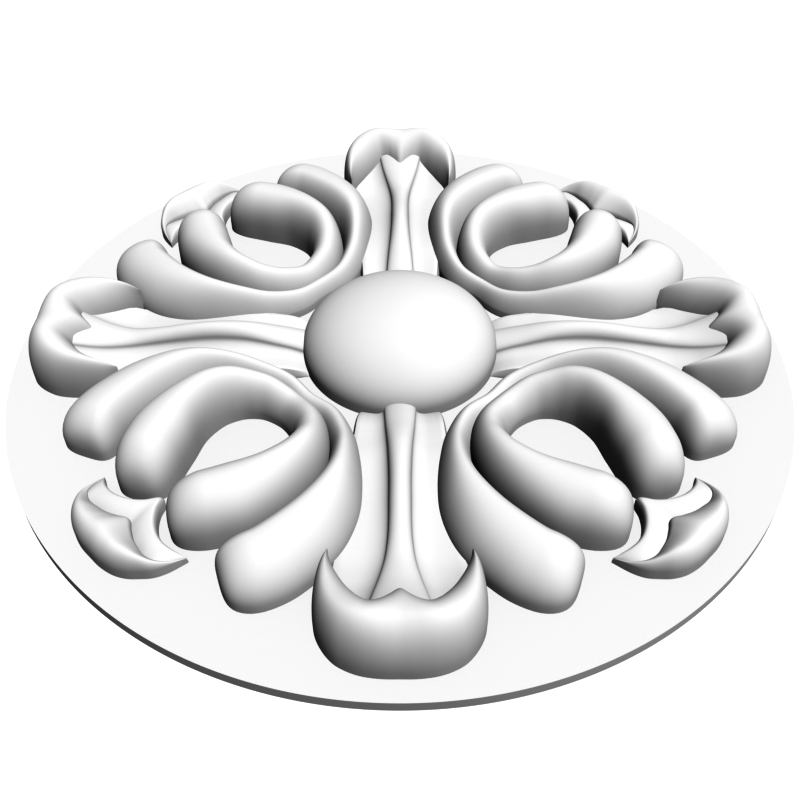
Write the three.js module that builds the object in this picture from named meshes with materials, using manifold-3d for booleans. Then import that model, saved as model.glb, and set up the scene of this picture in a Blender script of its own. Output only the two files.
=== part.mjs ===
// Carved rosette: a thin round plate and the four-fold relief on it, cut from one blank.
// Millimetres. The back face lies in the XY plane and the carving looks along +Z.
import * as THREE from 'three';
import { mergeVertices } from 'three/addons/utils/BufferGeometryUtils.js';
import Module from 'manifold-3d';

// Driving dimensions
const plateRadius = 100;
const plateThickness = 2.9;
const reliefHeight = 16.5; // top of the boss above the plate's face
const bossRadius = 25.3;
const footHeight = 2; // upright edge at the foot of the rounded forms
const bossFootHeight = 2.5;
const repeats = 4; // leaves, and pairs of loops, round the plate

// Fineness of the faceted surface
const plateSides = 88;
const bossSides = 36;
const bossSteps = 6;
const stepsAcross = 6;
const loopSteps = 11; // from the bend of a loop to the start of its rounded end
const lipSteps = 10;
const capSteps = 4;
const stalkSteps = 14;
const tipLeafSteps = 6;
const smallestEdge = 0.02; // shorter edges left where two forms meet are closed up

// The carving is drawn on one quarter, with a leaf along +X and the loops about the diagonal.
// Plan sizes are hundredths of the plate's radius, heights are hundredths of the relief height.
const endPower = 2.4; // of the limbs' rounded ends in plan, 2 is an ellipse

// Stations of a limb: crest x, crest y, half-width outside, half-width inside, crest height and
// fullness of the section, which is 1 for a parabola and 2 for an ellipse
const outerLoopStations = [
  [22.2, 22.2, 2.4, 3.2, 36, 1.2],
  [27.7, 16.6, 2.8, 3.3, 40, 1.2],
  [35.0, 13.7, 3.4, 3.8, 48, 1.2],
  [42.0, 12.9, 4.2, 4.3, 61, 1.2],
  [49.0, 13.6, 5.6, 5.4, 70, 1.3],
  [55.0, 16.0, 7.8, 6.2, 73, 1.5],
  [61.0, 20.5, 10.0, 6.2, 73, 1.7],
  [66.5, 26.5, 10.9, 5.8, 72, 1.9],
  [69.5, 31.0, 10.9, 5.4, 70, 2.0],
  [72.0, 38.4, 10.4, 5.2, 68, 2.1],
];
const innerLoopStations = [
  [25.4, 25.4, 4.0, 4.4, 51, 1.5],
  [31.0, 21.6, 4.6, 4.5, 60, 1.5],
  [36.0, 20.6, 5.2, 4.6, 68, 1.4],
  [41.0, 21.2, 6.3, 4.9, 79, 1.4],
  [46.0, 24.0, 8.0, 5.0, 85, 1.6],
  [50.5, 29.5, 10.4, 5.2, 87, 1.9],
  [54.0, 36.0, 11.4, 6.4, 87, 2.1],
  [56.3, 42.0, 10.2, 6.7, 86, 2.2],
  [58.3, 50.9, 8.8, 6.4, 84, 2.2],
];
// Stations of the lip, from y = 0 to the tip of its horn: inner foot x and y, crest x and y,
// outer foot x and y, crest height
const lipStations = [
  [78.3, 0.0, 88.5, 0.0, 95.0, 0.0, 86],
  [80.0, 1.9, 88.6, 2.4, 95.0, 2.6, 87],
  [81.6, 3.6, 88.8, 4.7, 94.8, 5.2, 88.5],
  [82.3, 5.6, 88.7, 7.0, 94.3, 7.9, 89],
  [81.2, 7.6, 88.0, 9.2, 93.3, 10.6, 88],
  [79.4, 9.3, 86.6, 11.4, 91.7, 13.2, 85],
  [77.6, 10.7, 84.4, 13.3, 89.0, 15.5, 81],
  [75.6, 12.0, 81.6, 14.6, 85.5, 17.2, 77],
  [73.6, 13.2, 78.4, 15.3, 81.3, 17.8, 72.5],
  [71.8, 14.1, 75.0, 15.5, 77.0, 17.6, 66],
  [70.6, 14.6, 72.0, 15.3, 73.0, 16.8, 58],
  [69.6, 15.0, 69.6, 15.0, 69.6, 15.0, 48],
];
// Stations of the stalk: x, half-width, half-width of the middle rib, and the heights of the
// rib, of the flute at the rib, of its pull in the middle and of the flute at the outer edge
const stalkStations = [
  [21.0, 9.4, 3.9, 24, -6, -6, -6],
  [25.0, 10.5, 3.9, 31, 8, 9, 11],
  [28.5, 11.0, 3.7, 37, 16, 16, 20],
  [32.0, 11.3, 3.5, 43, 20, 20, 23],
  [36.0, 11.7, 3.2, 50, 24, 23, 25],
  [40.0, 12.0, 2.9, 55, 26, 26, 27],
  [45.0, 12.2, 2.65, 57, 26, 25, 27],
  [50.0, 12.5, 2.5, 56, 24, 22, 24],
  [55.0, 13.0, 2.5, 52, 21, 18, 20],
  [60.0, 13.5, 2.5, 46, 18, 14, 17],
  [65.0, 14.3, 2.7, 41, 15, 11, 15],
  [70.0, 15.0, 3.3, 38, 15, 9, 17],
  [75.0, 15.2, 4.4, 41, 20, 12, 27],
  [79.0, 15.0, 5.4, 47, 28, 21, 36],
  [83.0, 14.0, 6.3, 56, 38, 34, 43],
];
// Stations of a tip leaf from the diagonal to the horn, each place as its distance along the
// diagonal and across it: inner edge, groove, crest, outer foot, then the heights of inner
// edge, groove and crest
const tipLeafStations = [
  [74.3, 0.0, 83.4, 0.0, 90.0, 0.0, 94.0, 0.0, 24, 29, 52],
  [77.0, 1.8, 84.6, 2.3, 90.3, 3.0, 93.9, 3.6, 24, 28, 51],
  [79.3, 4.2, 86.0, 5.0, 90.2, 6.0, 93.1, 7.2, 24, 27, 50],
  [80.9, 7.2, 86.7, 7.8, 89.4, 9.0, 91.6, 10.0, 23.5, 25, 46],
  [81.4, 9.8, 86.8, 10.4, 88.2, 11.3, 89.6, 12.1, 22, 23.5, 39],
  [81.2, 12.2, 85.4, 12.6, 86.3, 13.3, 87.3, 14.0, 19.5, 21, 30],
  [80.6, 14.1, 83.0, 14.4, 83.6, 14.8, 84.2, 15.2, 16, 17, 21],
  [79.8, 15.9, 79.8, 15.9, 79.8, 15.9, 79.8, 15.9, 9, 9, 9],
];

const wasm = await Module();
wasm.setup();

// Value at t on the smooth curve through the rows, every column eased the same way
function along(rows, t) {
  const last = rows.length - 1;
  const index = Math.min(Math.floor(t), last - 1);
  const f = t - index;
  const before = rows[Math.max(index - 1, 0)];
  const after = rows[Math.min(index + 2, last)];
  return rows[index].map((a, column) => {
    const b = rows[index + 1][column];
    const slopeA = (b - before[column]) / 2;
    const slopeB = (after[column] - a) / 2;
    const rise = b - a;
    return a + f * (slopeA + f * (3 * rise - 2 * slopeA - slopeB + f * (slopeA + slopeB - 2 * rise)));
  });
}

// Closed solid under a grid of surface points: the grid, upright sides and a flat underside
// inside the plate. A row or column whose points all meet closes to an edge.
function solidUnder(grid) {
  const underside = plateThickness / 2;
  const rows = grid.length;
  const columns = grid[0].length;
  const positions = [];
  for (const row of grid) {
    for (const [x, y, z] of row) positions.push(x, y, z);
  }
  const floorStart = rows * columns;
  for (const row of grid) {
    for (const [x, y] of row) positions.push(x, y, underside);
  }
  const top = (i, j) => i * columns + j;
  const floor = (i, j) => floorStart + i * columns + j;
  const faces = [];
  const quad = (a, b, c, d) => faces.push(a, b, c, a, c, d);
  for (let i = 0; i < rows - 1; i++) {
    for (let j = 0; j < columns - 1; j++) {
      quad(top(i, j), top(i + 1, j), top(i + 1, j + 1), top(i, j + 1));
      quad(floor(i, j), floor(i, j + 1), floor(i + 1, j + 1), floor(i + 1, j));
    }
    quad(floor(i, 0), floor(i + 1, 0), top(i + 1, 0), top(i, 0));
    quad(top(i, columns - 1), top(i + 1, columns - 1), floor(i + 1, columns - 1), floor(i, columns - 1));
  }
  for (let j = 0; j < columns - 1; j++) {
    quad(top(0, j), top(0, j + 1), floor(0, j + 1), floor(0, j));
    quad(floor(rows - 1, j), floor(rows - 1, j + 1), top(rows - 1, j + 1), top(rows - 1, j));
  }
  const geometry = new THREE.BufferGeometry();
  geometry.setAttribute('position', new THREE.Float32BufferAttribute(positions, 3));
  geometry.setIndex(faces);
  return asManifold(geometry);
}

// A three.js geometry as a manifold solid, with triangles that have lost their area left out
function asManifold(geometry) {
  geometry.deleteAttribute('normal');
  geometry.deleteAttribute('uv');
  const merged = mergeVertices(geometry, 1e-4);
  const index = Array.from(merged.index.array);
  const faces = [];
  for (let i = 0; i < index.length; i += 3) {
    const [a, b, c] = index.slice(i, i + 3);
    if (a !== b && b !== c && c !== a) faces.push(a, b, c);
  }
  return new wasm.Manifold(new wasm.Mesh({
    numProp: 3,
    vertProperties: new Float32Array(merged.attributes.position.array),
    triVerts: new Uint32Array(faces),
  }));
}

const inRelief = (height) => (height * reliefHeight) / 100;

const surfacePoint = (x, y, rise) => [(x * plateRadius) / 100, (y * plateRadius) / 100, plateThickness + rise];

// A height that drops to its foot over a quarter of an ellipse as `over` goes from 0 to 1
const dropped = (top, footShare, over) => top * (footShare + (1 - footShare) * Math.sqrt(1 - over ** 2));

// Both halves of a form that is symmetric about its first station, as one run of stations
const bothHalves = (stations, mirror) => [...stations.slice(1).reverse().map(mirror), ...stations];

// Mirror image of a station whose first `count` numbers are places, each x then y
const acrossTwin = (count) => (station) => station.map((value, i) => (i < count && i % 2 === 1 ? -value : value));

// The first and the last row close to one point each
function pointed(grid) {
  for (const row of [grid[0], grid[grid.length - 1]]) row.fill(row[0]);
  return grid;
}

// Places along half a limb: even up to the last stretch, then closer and closer over the round end
function placesAlong(plainLength, plainSteps) {
  const places = [];
  for (let i = 0; i < plainSteps; i++) places.push((plainLength * i) / plainSteps);
  for (let i = 0; i <= capSteps; i++) places.push(plainLength + Math.sin((i / capSteps) * (Math.PI / 2)));
  return places;
}

// A rounded limb swept along its crest. Across it, the height is one less the square of the way
// out, to the power of one over its fullness. Its last stretch closes to a round end. `mirror`
// turns a station into its twin on the limb's other half.
function limb(stations, mirror, plainSteps) {
  const rows = bothHalves(stations, mirror);
  const middle = stations.length - 1;
  const plainLength = stations.length - 2;
  const half = placesAlong(plainLength, plainSteps);
  const places = [...half.slice(1).reverse().map((place) => -place), ...half];
  const grid = places.map((place) => {
    const t = middle + place;
    const [x, y, outside, inside, crest, fullness] = along(rows, t);
    const [aheadX, aheadY] = along(rows, Math.min(t + 0.01, rows.length - 1));
    const [behindX, behindY] = along(rows, Math.max(t - 0.01, 0));
    const length = Math.hypot(aheadX - behindX, aheadY - behindY);
    const normalX = -(aheadY - behindY) / length;
    const normalY = (aheadX - behindX) / length;
    const intoCap = Math.max(Math.abs(place) - plainLength, 0);
    const widthShare = Math.max(1 - intoCap ** endPower, 0) ** (1 / endPower);
    const riseShare = Math.sqrt(Math.max(1 - intoCap ** 2, 0));
    const row = [];
    for (let j = 0; j <= stepsAcross; j++) {
      const angle = (Math.PI * j) / stepsAcross;
      const side = Math.cos(angle) > 0 ? outside : inside;
      const offset = -Math.cos(angle) * side * widthShare;
      const rounding = Math.sin(angle) ** (2 / fullness) * riseShare;
      const rise = footHeight + (inRelief(crest) - footHeight) * rounding;
      row.push(surfacePoint(x + normalX * offset, y + normalY * offset, rise));
    }
    return row;
  });
  return solidUnder(grid);
}

const swapped = ([x, y, ...rest]) => [y, x, ...rest];

function outerLoop() {
  return limb(outerLoopStations, swapped, loopSteps);
}

function innerLoop() {
  return limb(innerLoopStations, swapped, loopSteps);
}

// The lip of a leaf, with its horns pointing back along the stalk: a quarter ellipse from the
// inner foot up to the crest, and another down to the outer foot
function lip() {
  const rows = bothHalves(lipStations, acrossTwin(6));
  const grid = [];
  for (let i = 0; i <= 2 * lipSteps; i++) {
    const station = along(rows, ((rows.length - 1) * i) / (2 * lipSteps));
    const [innerX, innerY, crestX, crestY, outerX, outerY, crest] = station;
    const row = [];
    for (let j = 0; j <= stepsAcross; j++) {
      const angle = (Math.PI * j) / stepsAcross;
      const lean = Math.abs(Math.cos(angle));
      const [footX, footY] = Math.cos(angle) > 0 ? [innerX, innerY] : [outerX, outerY];
      const rise = footHeight + (inRelief(crest) - footHeight) * Math.sin(angle);
      row.push(surfacePoint(crestX + (footX - crestX) * lean, crestY + (footY - crestY) * lean, rise));
    }
    grid.push(row.reverse());
  }
  return solidUnder(pointed(grid));
}

// The stalk: a rounded middle rib between two hollow flutes with rounded edges. A fillet, a
// hollow quarter of an ellipse, eases each flute into the rib.
function stalk() {
  const ribSteps = 3;
  const fluteShares = [0.12, 0.42, 0.84, 0.95, 1];
  const filletShare = 0.42; // of the flute's width
  const filletRise = 0.45; // share of the rib's height above the flute
  const edgeStart = 0.84; // share of the flute's width where its edge starts to drop
  const edgeFootShare = 0.35;
  const grid = [];
  for (let i = 0; i <= stalkSteps; i++) {
    const station = along(stalkStations, ((stalkStations.length - 1) * i) / stalkSteps);
    const [x, halfWidth, ribHalf, ribTop, atRib, pull, atEdge] = station;
    const lift = (ribTop - atRib) * filletRise;
    const ribFoot = atRib + lift;
    const half = [];
    for (let j = 0; j <= ribSteps; j++) {
      const angle = (Math.PI / 2) * (j / ribSteps);
      half.push([ribHalf * Math.sin(angle), ribFoot + (ribTop - ribFoot) * Math.cos(angle)]);
    }
    for (const f of fluteShares) {
      const away = Math.max(1 - f / filletShare, 0);
      const floor = atRib * (1 - f) ** 2 + 2 * pull * f * (1 - f) + atEdge * f ** 2;
      const top = floor + lift * (1 - Math.sqrt(1 - away ** 2));
      const over = Math.max((f - edgeStart) / (1 - edgeStart), 0);
      half.push([ribHalf + (halfWidth - ribHalf) * f, dropped(top, edgeFootShare, over)]);
    }
    const twin = half.slice(1).reverse().map(([y, rise]) => [-y, rise]);
    const section = [...twin, ...half];
    grid.push(section.map(([y, rise]) => surfacePoint(x, y, inRelief(rise))));
  }
  return solidUnder(grid);
}

// A tip leaf: a low band with a slight swell along the inner edge, a groove, and a crescent
// that climbs from the groove by a power curve and falls to its outer foot by an ellipse
function tipLeaf() {
  const swell = 2;
  const edgeFootShare = 0.55;
  const outerFoot = 15;
  const climbPower = 2.4;
  const bandShares = [1, 0.8, 0.4, 0];
  const climbSteps = 2;
  const fallSteps = 2;
  const rows = bothHalves(tipLeafStations, acrossTwin(8));
  const grid = [];
  for (let i = 0; i <= 2 * tipLeafSteps; i++) {
    const station = along(rows, ((rows.length - 1) * i) / (2 * tipLeafSteps));
    const [innerA, innerC, grooveA, grooveC, crestA, crestC, outerA, outerC, edge, groove, crest] = station;
    const row = [];
    const put = (alongIt, acrossIt, height) => {
      const [x, y] = [(alongIt - acrossIt) * Math.SQRT1_2, (alongIt + acrossIt) * Math.SQRT1_2];
      row.push(surfacePoint(x, y, inRelief(height)));
    };
    for (const f of bandShares) {
      const top = groove + (edge - groove) * f + swell * Math.sin(Math.PI * f);
      const height = dropped(top, edgeFootShare, f === 1 ? 1 : 0);
      put(grooveA + (innerA - grooveA) * f, grooveC + (innerC - grooveC) * f, height);
    }
    for (let j = 1; j <= climbSteps; j++) {
      const f = j / climbSteps;
      const height = groove + (crest - groove) * (1 - (1 - f) ** climbPower);
      put(grooveA + (crestA - grooveA) * f, grooveC + (crestC - grooveC) * f, height);
    }
    const foot = Math.min(outerFoot, crest);
    for (let j = 1; j <= fallSteps; j++) {
      const angle = (Math.PI / 2) * (j / fallSteps);
      const f = Math.sin(angle);
      const height = foot + (crest - foot) * Math.cos(angle);
      put(crestA + (outerA - crestA) * f, crestC + (outerC - crestC) * f, height);
    }
    grid.push(row.reverse());
  }
  return solidUnder(pointed(grid));
}

// The boss: a quarter ellipse on an upright foot, turned about the centre
function boss() {
  const profile = [new THREE.Vector2(0, plateThickness / 2)];
  profile.push(new THREE.Vector2(bossRadius, plateThickness / 2));
  for (let i = 0; i < bossSteps; i++) {
    const angle = (Math.PI / 2) * (i / bossSteps);
    const rise = bossFootHeight + (reliefHeight - bossFootHeight) * Math.sin(angle);
    profile.push(new THREE.Vector2(bossRadius * Math.cos(angle), plateThickness + rise));
  }
  profile.push(new THREE.Vector2(0, plateThickness + reliefHeight));
  const geometry = new THREE.LatheGeometry(profile, bossSides);
  geometry.rotateX(Math.PI / 2);
  return asManifold(geometry);
}

function plate() {
  const geometry = new THREE.CylinderGeometry(plateRadius, plateRadius, plateThickness, plateSides);
  geometry.rotateX(Math.PI / 2);
  geometry.translate(0, 0, plateThickness / 2);
  return asManifold(geometry);
}

function asGeometry(solid) {
  const mesh = solid.getMesh();
  const geometry = new THREE.BufferGeometry();
  geometry.setAttribute('position', new THREE.Float32BufferAttribute(mesh.vertProperties, 3));
  geometry.setIndex(Array.from(mesh.triVerts));
  geometry.computeVertexNormals();
  return geometry;
}

function rosette() {
  let solid = plate().add(boss());
  const quarter = [stalk(), lip(), outerLoop(), innerLoop(), tipLeaf()];
  for (let i = 0; i < repeats; i++) {
    for (const form of quarter) solid = solid.add(form.rotate([0, 0, (360 / repeats) * i]));
  }
  return solid.simplify(smallestEdge);
}

const paintedWood = new THREE.MeshStandardMaterial({ color: 0xf1f0ee, roughness: 0.45, metalness: 0 });

const carvedRosette = new THREE.Mesh(asGeometry(rosette()), paintedWood);
carvedRosette.name = 'carved_rosette';

const model = new THREE.Group();
model.add(carvedRosette);

export default model;
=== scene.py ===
# Carved rosette: a white-primed round panel with four leaves around a domed boss.
import math
import bmesh
import bpy
import numpy as np
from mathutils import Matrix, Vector


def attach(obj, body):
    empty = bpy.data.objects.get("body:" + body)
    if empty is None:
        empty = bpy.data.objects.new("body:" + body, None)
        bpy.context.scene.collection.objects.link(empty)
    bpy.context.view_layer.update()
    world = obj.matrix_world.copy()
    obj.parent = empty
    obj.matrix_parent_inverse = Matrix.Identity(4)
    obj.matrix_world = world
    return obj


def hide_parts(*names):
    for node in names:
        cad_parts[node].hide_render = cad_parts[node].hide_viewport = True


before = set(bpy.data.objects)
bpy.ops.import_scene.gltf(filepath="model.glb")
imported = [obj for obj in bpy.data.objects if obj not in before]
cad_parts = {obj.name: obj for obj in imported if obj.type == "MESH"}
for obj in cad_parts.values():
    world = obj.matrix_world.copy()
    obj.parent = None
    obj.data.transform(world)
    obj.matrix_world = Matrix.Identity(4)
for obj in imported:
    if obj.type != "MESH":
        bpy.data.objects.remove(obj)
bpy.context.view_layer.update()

# Places in plan are hundredths of the panel's radius and heights are hundredths of the
# relief's height, both measured from the middle of the panel's face.
panel = {
    "radius": 0.100,
    "thickness": 0.0029,
    "relief": 0.0165,
    "repeats": 4,
    "buried": -9,        # how deep each carved form runs into the panel
    "sides": 360,
    "sharpAngle": 34,    # degrees, edges steeper than this stay crisp
    "mergeDistance": 1e-6,
    "emptyEdge": 1e-7,   # edges under this length, in metres, are taken out
}
boss = {"radius": 25.3, "foot": 15, "sides": 180, "steps": 36}
outerLoop = {
    "foot": 12, "along": 70, "end": 14, "across": 28,
    "roundness": 2.4,    # power of the rounded ends in plan, 2 is an ellipse
    # x, y, half width outside, half width inside, crest, fullness of the section
    "stations": [
        [22.2, 22.2, 2.4, 3.2, 36, 1.2],
        [27.7, 16.6, 2.8, 3.2, 42, 1.2],
        [35.0, 13.7, 3.4, 3.4, 52, 1.2],
        [42.0, 12.9, 4.2, 3.8, 66, 1.2],
        [49.0, 13.6, 5.6, 4.6, 76, 1.3],
        [55.0, 16.0, 7.8, 5.2, 79, 1.5],
        [61.0, 20.5, 10.0, 5.2, 78, 1.7],
        [66.5, 26.5, 10.9, 5.0, 75, 1.9],
        [69.5, 31.0, 10.9, 5.0, 72, 2.0],
        [72.0, 38.4, 10.4, 5.0, 69, 2.1],
    ],
}
innerLoop = {
    "foot": 12, "along": 64, "end": 14, "across": 28,
    "roundness": 2.3,
    "stations": [
        [25.4, 25.4, 3.6, 4.4, 52, 1.6],
        [31.0, 21.6, 3.9, 4.5, 62, 1.7],
        [36.0, 20.6, 4.2, 4.6, 71, 1.9],
        [41.0, 21.2, 4.6, 4.9, 82, 2.1],
        [46.0, 24.0, 5.4, 5.0, 88, 2.4],
        [50.5, 29.5, 7.1, 5.2, 89, 2.8],
        [54.0, 36.0, 8.5, 6.4, 88, 3.0],
        [56.3, 42.0, 8.2, 6.7, 87, 2.9],
        [58.3, 50.9, 7.9, 6.4, 84, 2.6],
    ],
}
lip = {
    "foot": 12, "along": 56, "across": 32,
    # inner foot x, y, crest x, y, outer foot x, y, crest
    "stations": [
        [78.3, 0.0, 88.5, 0.0, 95.0, 0.0, 86],
        [80.0, 1.9, 88.6, 2.4, 95.0, 2.6, 87],
        [81.6, 3.6, 88.8, 4.7, 94.8, 5.2, 88.5],
        [82.3, 5.6, 88.7, 7.0, 94.3, 7.9, 89],
        [81.2, 7.6, 88.0, 9.2, 93.3, 10.6, 88],
        [79.4, 9.3, 86.6, 11.4, 91.7, 13.2, 85],
        [77.6, 10.7, 84.4, 13.3, 89.0, 15.5, 81],
        [75.6, 12.0, 81.6, 14.6, 85.5, 17.2, 77],
        [73.6, 13.2, 78.4, 15.3, 81.3, 17.8, 72.5],
        [71.8, 14.1, 75.0, 15.5, 77.0, 17.6, 66],
        [70.6, 14.6, 72.0, 15.3, 73.0, 16.8, 58],
        [69.6, 15.0, 69.6, 15.0, 69.6, 15.0, 48],
    ],
}
stalk = {
    "along": 72, "rib": 11, "flute": 19, "edgeStart": 0.84, "edgeFoot": 0.35,
    "crowding": 1.6,     # power that draws the flute's steps towards the rib
    "fillet": 0.42,      # share of the flute's width that curves up into the rib
    "filletRise": 0.45,  # share of the rib's height that the fillet climbs
    # x, half width, rib half width, rib top, flute at the rib, middle, edge
    "stations": [
        [21.0, 9.4, 3.9, 24, -6, -6, -6],
        [25.0, 10.5, 3.9, 31, 8, 9, 11],
        [28.5, 11.0, 3.7, 37, 16, 16, 20],
        [32.0, 11.3, 3.5, 43, 20, 20, 23],
        [36.0, 11.7, 3.2, 50, 24, 23, 25],
        [40.0, 12.0, 2.9, 55, 26, 26, 27],
        [45.0, 12.2, 2.65, 57, 26, 25, 27],
        [50.0, 12.5, 2.5, 56, 24, 22, 24],
        [55.0, 13.0, 2.5, 52, 21, 18, 20],
        [60.0, 13.5, 2.5, 46, 18, 14, 17],
        [65.0, 14.3, 2.7, 41, 15, 11, 15],
        [70.0, 15.0, 3.3, 38, 15, 9, 17],
        [75.0, 15.2, 4.4, 41, 20, 12, 27],
        [79.0, 15.0, 5.4, 47, 28, 21, 36],
        [83.0, 14.0, 6.3, 56, 38, 34, 43],
    ],
}
tipLeaf = {
    "foot": 15, "along": 42, "band": 16, "crescent": 28,
    "swell": 1.0, "edgeStart": 0.8, "edgeFoot": 0.55, "shoulder": 2.6,
    "steep": 1.5, "step": 0.22, "stepEnd": 0.1,
    "crowding": 1.8,     # power that draws the crescent's steps towards the groove
    # along and across the diagonal: inner edge, groove, crest, outer foot; then the tops
    "stations": [
        [74.3, 0.0, 83.2, 0.0, 90.0, 0.0, 94.0, 0.0, 26, 18, 50],
        [77.0, 1.8, 84.4, 2.3, 90.3, 3.0, 93.9, 3.6, 26, 18, 49],
        [79.3, 4.2, 85.6, 4.9, 90.3, 6.1, 93.1, 7.2, 26, 18, 48],
        [80.9, 7.2, 86.2, 7.6, 89.5, 8.9, 91.6, 10.0, 26, 18, 45],
        [81.4, 9.8, 86.5, 10.3, 88.3, 11.3, 89.6, 12.1, 25, 19, 38],
        [81.2, 12.2, 85.7, 12.9, 86.5, 13.4, 87.3, 14.0, 23, 21, 29],
        [80.6, 14.1, 83.5, 14.7, 83.8, 14.9, 84.2, 15.2, 18, 17, 20],
        [79.8, 15.9, 79.8, 15.9, 79.8, 15.9, 79.8, 15.9, 9, 9, 9],
    ],
}


def smoothRows(rows, places):
    # A smooth curve through the rows: between two rows, the cubic whose slope at each
    # row is half the step from the row before it to the row after it.
    rows = np.asarray(rows, float)
    last = len(rows) - 1
    start = np.clip(np.floor(places).astype(int), 0, last - 1)
    part = (places - start)[:, None]
    here, after = rows[start], rows[start + 1]
    slopeHere = (after - rows[np.maximum(start - 1, 0)]) / 2
    slopeAfter = (rows[np.minimum(start + 2, last)] - here) / 2
    rise = after - here
    bend = 3 * rise - 2 * slopeHere - slopeAfter
    twist = slopeHere + slopeAfter - 2 * rise
    return here + part * (slopeHere + part * (bend + part * twist))


def columns(rows):
    # Each column on its own, still upright, so that it spreads across a grid.
    return [rows[:, i:i + 1] for i in range(rows.shape[1])]


def bothSides(stations, swap, flip):
    # The stations of one half, preceded by their own mirror image.
    rows = np.array(stations, float)
    other = rows[:0:-1].copy()
    other[:, swap[0]] = other[:, swap[1]]
    other[:, flip] *= -1
    return np.vstack([other, rows])


def limbSurface(shape):
    # Across the limb: one less the square of the way out from its crest, to the power of
    # one over its fullness, on an upright foot. Along it: the stations' curve, closed by
    # a rounded end.
    rows = bothSides(shape["stations"], ([0, 1], [1, 0]), [])
    middle = len(shape["stations"]) - 1
    plain = middle - 1
    rounding = np.sin(np.linspace(0, 1, shape["end"] + 1) * math.pi / 2)
    half = np.concatenate([
        np.linspace(0, plain, shape["along"], endpoint=False), plain + rounding])
    place = np.concatenate([-half[:0:-1], half])
    x, y, outside, inside, crest, fullness = columns(smoothRows(rows, middle + place))
    near = 0.01  # of a station, to either side, for the direction of the crest
    step = (smoothRows(rows, np.minimum(middle + place + near, 2 * middle))
            - smoothRows(rows, np.maximum(middle + place - near, 0)))[:, :2]
    step /= np.linalg.norm(step, axis=1)[:, None]
    into = np.maximum(np.abs(place) - plain, 0)[:, None]
    widthShare = np.maximum(1 - into ** shape["roundness"], 0) ** (1 / shape["roundness"])
    riseShare = np.sqrt(np.maximum(1 - into ** 2, 0))
    angle = np.linspace(0, math.pi, shape["across"] + 1)[None]
    offset = -np.cos(angle) * np.where(np.cos(angle) > 0, outside, inside) * widthShare
    crown = np.abs(np.sin(angle)) ** (2 / fullness) * riseShare
    height = shape["foot"] + (crest - shape["foot"]) * crown
    return np.stack([x - step[:, 1:] * offset, y + step[:, :1] * offset, height], -1)


def lipSurface(shape):
    # Across the lip: a quarter of an ellipse from the inner foot up to the crest and
    # another from the crest down to the outer foot.
    rows = bothSides(shape["stations"], ([0], [0]), [1, 3, 5])
    places = np.linspace(0, len(rows) - 1, 2 * shape["along"] + 1)
    innerX, innerY, crestX, crestY, outerX, outerY, crest = columns(smoothRows(rows, places))
    angle = np.linspace(0, math.pi, shape["across"] + 1)[None]
    lean = np.abs(np.cos(angle))
    footX = np.where(np.cos(angle) > 0, innerX, outerX)
    footY = np.where(np.cos(angle) > 0, innerY, outerY)
    x = crestX + (footX - crestX) * lean
    y = crestY + (footY - crestY) * lean
    height = shape["foot"] + (crest - shape["foot"]) * np.sin(angle)
    return pointed(np.stack([x, y, height], -1))


def stalkSurface(shape):
    # Across the stalk: a quarter of an ellipse for half the rib, a fillet that is a hollow
    # quarter of an ellipse, and a flute that is a parabola shaped by three heights and
    # rounded down at its edge.
    places = np.linspace(0, len(shape["stations"]) - 1, shape["along"] + 1)
    x, half, rib, top, groove, middle, edge = columns(smoothRows(shape["stations"], places))
    angle = np.linspace(0, math.pi / 2, shape["rib"] + 1)[None]
    share = np.linspace(0, 1, shape["flute"] + 1)[None, 1:] ** shape["crowding"]
    lift = (top - groove) * shape["filletRise"]
    flute = groove * (1 - share) ** 2 + 2 * middle * share * (1 - share) + edge * share ** 2
    away = np.maximum(1 - share / shape["fillet"], 0)
    flute = flute + lift * (1 - np.sqrt(1 - away ** 2))
    over = np.clip((share - shape["edgeStart"]) / (1 - shape["edgeStart"]), 0, 1)
    flute = flute * (shape["edgeFoot"] + (1 - shape["edgeFoot"]) * np.sqrt(1 - over ** 2))
    y = np.hstack([rib * np.sin(angle), rib + (half - rib) * share])
    z = np.hstack([groove + lift + (top - groove - lift) * np.cos(angle), flute])
    y = np.hstack([-y[:, :0:-1], y])
    z = np.hstack([z[:, :0:-1], z])
    return np.stack([np.broadcast_to(x, y.shape), y, z], -1)


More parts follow.
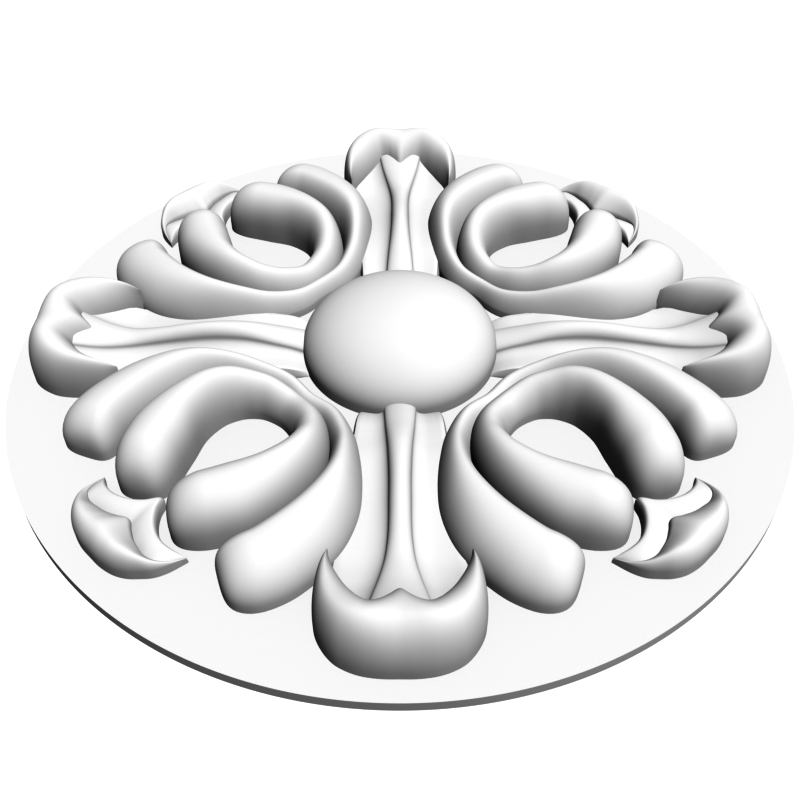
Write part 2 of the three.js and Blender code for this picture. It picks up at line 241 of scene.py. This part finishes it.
def tipLeafSurface(shape):
    # Across the tip leaf, from inside out: a low band with a slight swell, a rounded edge
    # and a shoulder that drops by a power curve, a groove, and a crescent that climbs by a
    # short step and another power curve and falls by an ellipse.
    rows = bothSides(shape["stations"], ([0], [0]), [1, 3, 5, 7])
    places = np.linspace(0, len(rows) - 1, 2 * shape["along"] + 1)
    (innerA, innerC, grooveA, grooveC, crestA, crestC, outerA, outerC,
     edgeTop, grooveTop, crestTop) = columns(smoothRows(rows, places))
    band = np.linspace(1, 0, shape["band"] + 1)[None]
    over = np.clip((band - shape["edgeStart"]) / (1 - shape["edgeStart"]), 0, 1)
    bandTop = grooveTop + (edgeTop - grooveTop) * (1 - (1 - band) ** shape["shoulder"])
    bandTop = bandTop + shape["swell"] * np.sin(math.pi * band)
    bandTop = bandTop * (shape["edgeFoot"] + (1 - shape["edgeFoot"]) * np.sqrt(1 - over ** 2))
    climb = np.linspace(0, 1, shape["crescent"] // 2 + 1)[None, 1:] ** shape["crowding"]
    step = np.sqrt(1 - np.maximum(1 - climb / shape["stepEnd"], 0) ** 2)
    slope = 1 - (1 - climb) ** shape["steep"]
    climbShare = shape["step"] * step + (1 - shape["step"]) * slope
    climbTop = grooveTop + (crestTop - grooveTop) * climbShare
    angle = np.linspace(0, math.pi / 2, shape["crescent"] // 2 + 1)[None, 1:]
    foot = np.minimum(shape["foot"], crestTop)
    fallTop = foot + (crestTop - foot) * np.cos(angle)
    alongIt = np.hstack([
        grooveA + (innerA - grooveA) * band,
        grooveA + (crestA - grooveA) * climb,
        crestA + (outerA - crestA) * np.sin(angle)])
    acrossIt = np.hstack([
        grooveC + (innerC - grooveC) * band,
        grooveC + (crestC - grooveC) * climb,
        crestC + (outerC - crestC) * np.sin(angle)])
    diagonal = math.sqrt(0.5)
    return pointed(np.stack([
        (alongIt - acrossIt) * diagonal,
        (alongIt + acrossIt) * diagonal,
        np.hstack([bandTop, climbTop, fallTop])], -1))


def pointed(surface):
    # Both ends of a curved leaf close to one point each.
    surface[[0, -1]] = surface[[0, -1], :1]
    return surface


def bossSurface(shape):
    # A quarter of an ellipse on a short upright foot, turned around the middle.
    angle = np.linspace(0, math.pi / 2, shape["steps"] + 1)[None]
    turn = np.linspace(0, 2 * math.pi, shape["sides"] + 1)[:, None]
    radius = shape["radius"] * np.cos(angle)
    height = shape["foot"] + (100 - shape["foot"]) * np.sin(angle)
    x = radius * np.cos(turn)
    return np.stack([x, radius * np.sin(turn), np.broadcast_to(height, x.shape)], -1)


def closedForm(name, surface, turn=0, goesRound=False):
    # The grid is the top of a closed block: the same grid, flat and turned over, is its
    # underside, and strips of faces join the two borders.
    rowCount, columnCount = surface.shape[:2]
    cos, sin = round(math.cos(turn)), round(math.sin(turn))
    x, y, z = surface[..., 0], surface[..., 1], surface[..., 2]
    plan = panel["radius"] / 100
    rise = panel["relief"] / 100
    top = np.stack([
        (x * cos - y * sin) * plan, (x * sin + y * cos) * plan,
        z * rise + panel["thickness"]], -1)
    under = top.copy()
    under[..., 2] = panel["buried"] * rise + panel["thickness"]
    index = np.arange(rowCount * columnCount).reshape(rowCount, columnCount)
    below = index + index.size
    topFaces = quads(index)
    underFaces = quads(below)[:, ::-1]
    border = index[::-1, 0] if goesRound else np.concatenate([
        index[0, :-1], index[:-1, -1], index[-1, :0:-1], index[:0:-1, 0]])
    nextOne = np.roll(border, -1)
    sideFaces = np.stack([border, border + index.size, nextOne + index.size, nextOne], -1)
    faces = np.concatenate([topFaces, underFaces, sideFaces])
    points = np.concatenate([top.reshape(-1, 3), under.reshape(-1, 3)])
    mesh = bpy.data.meshes.new(name)
    mesh.from_pydata(points.tolist(), [], faces.tolist())
    return tidied(name, mesh)


def quads(index):
    # One face between each four neighbours in the grid.
    corners = [index[:-1, :-1], index[1:, :-1], index[1:, 1:], index[:-1, 1:]]
    return np.stack(corners, -1).reshape(-1, 4)


def tidied(name, mesh):
    # Points that fall on one another are merged, so poles and seams close, and the
    # faces are turned outwards.
    work = bmesh.new()
    work.from_mesh(mesh)
    bmesh.ops.remove_doubles(work, verts=work.verts, dist=panel["mergeDistance"])
    bmesh.ops.dissolve_degenerate(work, edges=work.edges, dist=panel["emptyEdge"])
    bmesh.ops.recalc_face_normals(work, faces=work.faces)
    work.to_mesh(mesh)
    work.free()
    piece = bpy.data.objects.new(name, mesh)
    bpy.context.scene.collection.objects.link(piece)
    return piece


def panelForm():
    # A flat round plate, from the back at zero up to its face.
    turn = np.linspace(0, 2 * math.pi, panel["sides"] + 1)[:-1]
    radius = panel["radius"]
    ring = np.stack([radius * np.cos(turn), radius * np.sin(turn), np.zeros_like(turn)], -1)
    lifted = ring + [0, 0, panel["thickness"]]
    count = len(turn)
    side = np.arange(count)
    after = np.roll(side, -1)
    faces = [side[::-1].tolist(), (side + count).tolist()]
    faces += np.stack([side, after, after + count, side + count], -1).tolist()
    mesh = bpy.data.meshes.new("panel")
    mesh.from_pydata(np.concatenate([ring, lifted]).tolist(), [], faces)
    return tidied("panel", mesh)


def united(name, forms):
    # One closed skin around all the forms, with what lies inside taken away.
    whole = forms[0]
    for form in forms[1:]:
        join = whole.modifiers.new("join", "BOOLEAN")
        join.operation = "UNION"
        join.solver = "MANIFOLD"
        join.object = form
    graph = bpy.context.evaluated_depsgraph_get()
    mesh = bpy.data.meshes.new_from_object(whole.evaluated_get(graph))
    for form in forms:
        bpy.data.objects.remove(form)
    mesh.name = name
    piece = bpy.data.objects.new(name, mesh)
    bpy.context.scene.collection.objects.link(piece)
    mesh.shade_smooth()
    mesh.set_sharp_from_angle(angle=math.radians(panel["sharpAngle"]))
    return piece


surfaces = {
    "outerLoop": limbSurface(outerLoop),
    "innerLoop": limbSurface(innerLoop),
    "stalk": stalkSurface(stalk),
    "lip": lipSurface(lip),
    "tipLeaf": tipLeafSurface(tipLeaf),
}
forms = [panelForm(), closedForm("boss", bossSurface(boss), goesRound=True)]
for name, surface in surfaces.items():
    for turn in range(panel["repeats"]):
        forms.append(closedForm(name, surface, turn * 2 * math.pi / panel["repeats"]))
rosette = united("rosette", forms)
print("carving joined:", len(rosette.data.vertices), "points")


class Signal:
    # One output of a shader node, which can be used in Python sums.
    def __init__(self, tree, socket=None):
        self.tree = tree
        self.socket = socket

    def make(self, kind, settings=None, inputs=None, output=0):
        # A node with its settings and its inputs, numbers or other signals.
        node = self.tree.nodes.new(kind)
        for key, value in (settings or {}).items():
            setattr(node, key, value)
        for key, value in (inputs or {}).items():
            if isinstance(value, Signal):
                self.tree.links.new(value.socket, node.inputs[key])
            else:
                node.inputs[key].default_value = value
        return Signal(self.tree, node.outputs[output] if len(node.outputs) else None)

    def maths(self, operation, first, second=0.0):
        return self.make("ShaderNodeMath", {"operation": operation}, {0: first, 1: second})

    def __add__(self, other):
        return self.maths("ADD", self, other)

    def __sub__(self, other):
        return self.maths("SUBTRACT", self, other)

    def __rsub__(self, other):
        return self.maths("SUBTRACT", other, self)

    def __mul__(self, other):
        return self.maths("MULTIPLY", self, other)

    __radd__ = __add__
    __rmul__ = __mul__


primer = {
    "light": (0.84, 0.84, 0.83, 1),
    "dark": (0.78, 0.78, 0.775, 1),
    "roughness": 0.54,
    "roughnessSpread": 0.10,
    # scale and detail of each unevenness
    "clouds": (45.0, 3.0),
    "brushed": (420.0, 4.0),
    "grain": (2600.0, 2.0),
    "cloudShare": 0.7,         # of the clouds in the tone, the rest is brushed
    "cutterStep": 0.0011,      # height between two passes of the carving cutter, metres
    "cutterDepth": 0.00002,
    "grainDepth": 0.00001,
}


def whitePrimer(look):
    # The tone wavers between light and dark by noise, the roughness by the brushed noise,
    # and the bump is a sine of the height, for the cutter's passes, plus a fine grain.
    material = bpy.data.materials.new("whitePrimer")
    material.use_nodes = True
    tree = material.node_tree
    tree.nodes.clear()
    start = Signal(tree)
    place = start.make("ShaderNodeTexCoord", output="Object")
    height = start.make("ShaderNodeSeparateXYZ", inputs={0: place}, output=2)
    clouds, brushed, grain = [
        start.make("ShaderNodeTexNoise", inputs={
            "Vector": place, "Scale": look[kind][0], "Detail": look[kind][1]})
        for kind in ("clouds", "brushed", "grain")]
    passes = start.maths("SINE", height * (2 * math.pi / look["cutterStep"]))
    wavering = clouds * look["cloudShare"] + brushed * (1 - look["cloudShare"])
    tone = start.make("ShaderNodeMix", {"data_type": "RGBA"}, {
        "Factor": wavering, 6: look["light"], 7: look["dark"]}, output=2)
    roughness = look["roughness"] + (brushed - 0.5) * look["roughnessSpread"]
    relief = passes * look["cutterDepth"] + grain * look["grainDepth"]
    bump = start.make("ShaderNodeBump", inputs={
        "Strength": 1.0, "Distance": 1.0, "Height": relief})
    skin = start.make("ShaderNodeBsdfPrincipled", inputs={
        "Base Color": tone, "Roughness": roughness, "Normal": bump})
    start.make("ShaderNodeOutputMaterial", inputs={"Surface": skin})
    return material


rosette.data.materials.append(whitePrimer(primer))
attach(rosette, "root")
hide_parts("carved_rosette")
print("primer on")

studio = {
    "floorSize": 3.0,
    "floorTone": (0.93, 0.93, 0.93, 1),
    "floorRoughness": 0.9,
    "skyTone": 0.13,
    # the side that each lamp shines from, and its strength
    "lamps": {
        "key": ((0.19, -0.30, 0.93), 3.5),
        "rightFill": ((0.99, 0.0, 0.07), 0.45),
        "backFill": ((-0.10, 0.85, 0.52), 0.25),
    },
    "lampAngle": 10,
}


def studioFloor(look):
    # A plain square, level with the back of the panel.
    half = look["floorSize"] / 2
    corners = [(-half, -half, 0), (half, -half, 0), (half, half, 0), (-half, half, 0)]
    mesh = bpy.data.meshes.new("floor")
    mesh.from_pydata(corners, [], [(0, 1, 2, 3)])
    floor = bpy.data.objects.new("floor", mesh)
    bpy.context.scene.collection.objects.link(floor)
    material = bpy.data.materials.new("paleFloor")
    material.use_nodes = True
    skin = material.node_tree.nodes["Principled BSDF"]
    skin.inputs["Base Color"].default_value = look["floorTone"]
    skin.inputs["Roughness"].default_value = look["floorRoughness"]
    mesh.materials.append(material)


def studioLight(look):
    # Broad lamps that cast no shadow and send no light from surface to surface, so each
    # tone comes from the turn of the surface alone, as in the photograph.
    for name, (side, strength) in look["lamps"].items():
        lampData = bpy.data.lights.new(name, "SUN")
        lampData.energy = strength
        lampData.angle = math.radians(look["lampAngle"])
        lampData.use_shadow = False
        lampData.cycles.max_bounces = 0
        lamp = bpy.data.objects.new(name, lampData)
        lamp.location = side
        lamp.rotation_euler = Vector(side).to_track_quat("Z", "Y").to_euler()
        bpy.context.scene.collection.objects.link(lamp)
    sky = bpy.data.worlds.new("studio")
    sky.use_nodes = True
    glow = sky.node_tree.nodes["Background"]
    glow.inputs["Color"].default_value = (1, 1, 1, 1)
    glow.inputs["Strength"].default_value = look["skyTone"]
    sky.cycles.max_bounces = 0
    bpy.context.scene.world = sky
    bpy.context.scene.view_settings.view_transform = "Raw"  # firm contrast, no tone curve


studioFloor(studio)
studioLight(studio)

view = {
    "lens": 43.03, "sensor": 36.0, "nearest": 0.01,
    "place": (0, -0.18741, 0.17220),
    "down": 0.7869,  # radians that the camera looks down from level
}
lensData = bpy.data.cameras.new("camera")
lensData.lens = view["lens"]
lensData.sensor_width = view["sensor"]
lensData.clip_start = view["nearest"]
camera = bpy.data.objects.new("camera", lensData)
camera.location = view["place"]
camera.rotation_euler = (math.pi / 2 - view["down"], 0, 0)
bpy.context.scene.collection.objects.link(camera)
bpy.context.scene.camera = camera
print("light and camera set")
